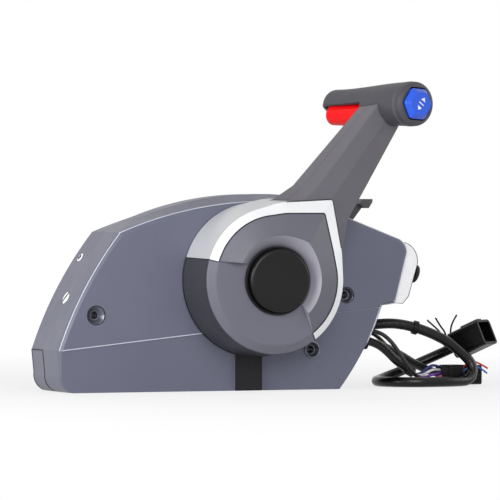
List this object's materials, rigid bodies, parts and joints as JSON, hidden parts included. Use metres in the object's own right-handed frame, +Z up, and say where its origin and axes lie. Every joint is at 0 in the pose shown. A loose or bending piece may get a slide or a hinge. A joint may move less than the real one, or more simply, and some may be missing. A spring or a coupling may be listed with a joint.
{
  "type": "boat throttle control lever",
  "caption": "Side-mount single-lever gear and throttle control for an outboard boat engine, with trim rocker, neutral release bar, end panel switches and wiring loom.",
  "frame": {"origin": "on the base, straight below the lever's pivot axis, at the middle of the case's thickness", "axes": "+Z up; +X aft, towards the switch panel; -Y inboard, the lever's side; +Y outboard, the face bolted to the boat"},
  "size_m": [0.4227, 0.1588, 0.265],
  "materials": {
    "case_plastic": "moulded, fine texture, satin",
    "cover_plastic": "moulded, fine texture, satin",
    "dark_plastic": "moulded, satin",
    "arm_plastic": "moulded, satin",
    "grip_plastic": "moulded, soft satin",
    "black_plastic": "moulded, satin",
    "silver_finish": "bright silver paint, smooth",
    "panel_silver": "light silver paint, smooth",
    "chrome_metal": "polished",
    "red_plastic": "moulded, semi-gloss",
    "blue_plastic": "moulded, semi-gloss",
    "steel": "machined, plated",
    "cast_metal": "as cast",
    "bearing_brass": "machined",
    "black_rubber": "matt",
    "loom_sheath": "soft PVC tube, slight sheen",
    "wire_colours": "PVC insulation, several colours"
  },
  "bodies": {
    "housing": {"inboard_cover": "cover_plastic", "case_ring": "case_plastic", "back_plate": "dark_plastic", "cable_exit_cover": "case_plastic", "trim_wire_cover": "black_plastic", "switch_panel": "panel_silver", "ignition_barrel": "black_plastic", "switch_nuts": "chrome_metal", "stop_switch_body": "black_plastic", "adjuster_inserts": "bearing_brass", "fast_idle_pin": "steel", "mounting_sleeves": "steel", "case_screws": "steel", "frame_screws": "steel", "shaft_frame": "cast_metal", "shaft_bush": "bearing_brass", "sector_pins": "steel", "loom_grommet": "black_rubber", "main_loom": "loom_sheath", "switch_lead": "loom_sheath", "trim_lead": "loom_sheath", "lead_boot": "black_rubber", "gauge_wires": "wire_colours", "gauge_plug": "black_plastic", "trim_plug": "black_plastic", "engine_plug": "black_plastic"},
    "handle": {"silver_trim": "silver_finish", "hub_cover": "dark_plastic", "hub_fairing": "dark_plastic", "button_ring": "dark_plastic", "hub_nut": "steel", "handle_casting": "cast_metal", "handle_arm": "arm_plastic", "arm_back_cover": "arm_plastic", "arm_screws": "steel", "grip": "grip_plastic", "rocker_pin": "steel", "control_shaft": "steel", "drive_pinion": "steel"},
    "button": {"throttle_only_button": "black_plastic", "button_spring": "steel"},
    "release": {"release_bar": "red_plastic", "lock_rod": "steel"},
    "rocker": {"trim_rocker": "blue_plastic"},
    "paddle": {"fast_idle_lever": "dark_plastic"},
    "ignition": {"ignition_rotor": "chrome_metal"},
    "stop": {"stop_switch_knob": "black_plastic"},
    "shift": {"shift_sector": "steel"},
    "throttle": {"throttle_sector": "steel"},
    "friction_adjuster": {"friction_screw": "steel"},
    "detent_adjuster": {"detent_screw": "steel"}
  },
  "joints": [
    {"name": "handle_swing", "type": "hinge", "parent": "housing", "child": "handle", "pos_m": [0, 0, 0.0955], "axis": [0, 1, 0], "range_deg": [-98, 46]},
    {"name": "shift_turn", "type": "hinge", "parent": "housing", "child": "shift", "pos_m": [-0.056, 0, 0.0955], "axis": [0, 1, 0], "range_deg": [-15.5, 32.8]},
    {"name": "throttle_turn", "type": "hinge", "parent": "housing", "child": "throttle", "pos_m": [0.042, 0, 0.0955], "axis": [0, 1, 0], "range_deg": [-23.2, 49.2]},
    {"name": "button_press", "type": "slide", "parent": "handle", "child": "button", "axis": [0, 1, 0], "range_m": [0, 0.005], "stiffness_N_per_m": 600, "springref_m": -0.004},
    {"name": "release_lift", "type": "slide", "parent": "handle", "child": "release", "axis": [0.5807, 0, 0.8141], "range_m": [0, 0.004], "stiffness_N_per_m": 900, "springref_m": -0.004},
    {"name": "rocker_tilt", "type": "hinge", "parent": "handle", "child": "rocker", "pos_m": [0.12035, -0.10727, 0.246], "axis": [0.7954, 0.2131, -0.5674], "range_deg": [-7, 7], "stiffness_Nm_per_rad": 0.6},
    {"name": "fast_idle_lift", "type": "hinge", "parent": "housing", "child": "paddle", "pos_m": [0.09, 0, 0.132], "axis": [0, -1, 0], "range_deg": [0, 45]},
    {"name": "ignition_turn", "type": "hinge", "parent": "housing", "child": "ignition", "pos_m": [0.15349, 0.015, 0.101], "axis": [0.9573, 0, -0.2889], "range_deg": [0, 80]},
    {"name": "stop_press", "type": "slide", "parent": "housing", "child": "stop", "axis": [-0.9573, 0, 0.2889], "range_m": [0, 0.003], "stiffness_N_per_m": 500, "springref_m": -0.003},
    {"name": "friction_adjust", "type": "hinge", "parent": "housing", "child": "friction_adjuster", "pos_m": [-0.15812, -0.001, 0.0804], "axis": [-0.889, 0, 0.4578], "range_deg": [-180, 180]},
    {"name": "detent_adjust", "type": "hinge", "parent": "housing", "child": "detent_adjuster", "pos_m": [-0.13786, 0.019, 0.1145], "axis": [-0.8275, 0, 0.5615], "range_deg": [-180, 180]}
  ],
  "couplings": [
    {"joint": "shift_turn", "follows": "handle_swing", "ratio": -0.33333},
    {"joint": "throttle_turn", "follows": "handle_swing", "ratio": -0.5}
  ]
}
